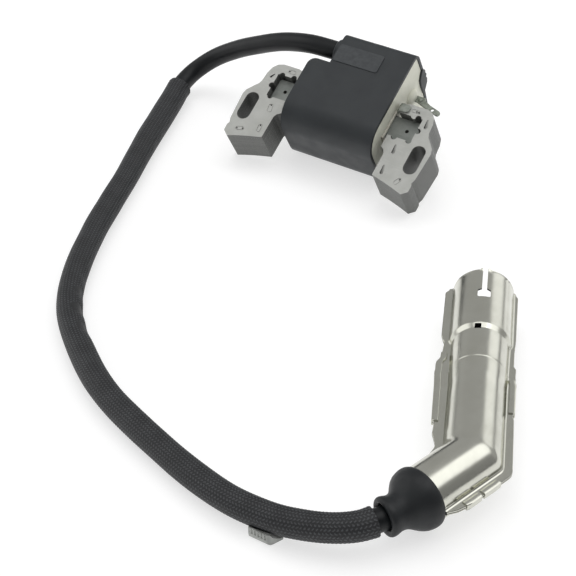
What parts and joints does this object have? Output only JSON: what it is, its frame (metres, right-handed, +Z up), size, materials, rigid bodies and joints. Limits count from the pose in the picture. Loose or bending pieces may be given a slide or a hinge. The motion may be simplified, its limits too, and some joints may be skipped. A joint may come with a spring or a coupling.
{
  "type": "small engine ignition coil",
  "caption": "Flywheel ignition coil with a two-legged laminated core, potted housing, sleeved high-voltage lead and a shielded elbow spark plug cap.",
  "frame": {"origin": "centre of the coil's footprint, without the lead and its cap, on the surface that everything lies on", "axes": "+X along the winding, from the lead's side to the side with the terminals; +Y away from the flywheel side, over the surface; +Z up"},
  "size_m": [0.2073, 0.2037, 0.0412],
  "materials": {
    "lamination_steel": "stacked electrical steel with a thin grey coating, stamped faces, layered edges",
    "bar_steel": "darker stacked electrical steel",
    "housing_plastic": "satin black moulded plastic",
    "potting_resin": "cast cream resin",
    "bobbin_plastic": "moulded off-white plastic",
    "winding_wire": "enamelled copper wire",
    "circuit_board": "green laminate",
    "component_plastic": "black epoxy",
    "component_ceramic": "ceramic body",
    "contact_metal": "tinned brass",
    "strip_steel": "plated strip steel",
    "lead_jacket": "smooth black jacket with a soft shine",
    "sleeve_braid": "charcoal woven glass-fibre braid",
    "clip_plastic": "ribbed grey moulding",
    "boot_rubber": "matte black rubber",
    "shield_steel": "pressed steel with a worn bright plating",
    "insulator_plastic": "black moulded insulator"
  },
  "bodies": {
    "coil_and_lead": {"core_leg_left": "lamination_steel", "core_leg_right": "lamination_steel", "core_bar": "bar_steel", "coil_housing": "housing_plastic", "potting_fill": "potting_resin", "primary_bobbin": "bobbin_plastic", "primary_winding": "winding_wire", "secondary_bobbin": "bobbin_plastic", "secondary_winding_1": "winding_wire", "secondary_winding_2": "winding_wire", "secondary_winding_3": "winding_wire", "secondary_winding_4": "winding_wire", "trigger_board": "circuit_board", "trigger_transistor": "component_plastic", "trigger_resistor": "component_ceramic", "tower_contact": "contact_metal", "ground_strap": "strip_steel", "kill_terminal": "strip_steel", "hv_lead": "lead_jacket", "lead_core_coil_end": "winding_wire", "lead_core_cap_end": "winding_wire", "braided_sleeve": "sleeve_braid", "lead_clip": "clip_plastic"},
    "plug_cap": {"boot_grommet": "boot_rubber", "shield_upper": "shield_steel", "shield_lower": "shield_steel", "cap_insulator": "insulator_plastic", "suppressor_resistor": "component_ceramic", "core_screw": "contact_metal", "contact_spring": "strip_steel", "plug_terminal_clip": "contact_metal"}
  },
  "joints": [
    {"name": "cap_swivel", "type": "hinge", "parent": "coil_and_lead", "child": "plug_cap", "pos_m": [0.10429, -0.15962, 0.00965], "axis": [-0.4993, -0.8649, -0.0523], "range_deg": [-60, 60]}
  ]
}
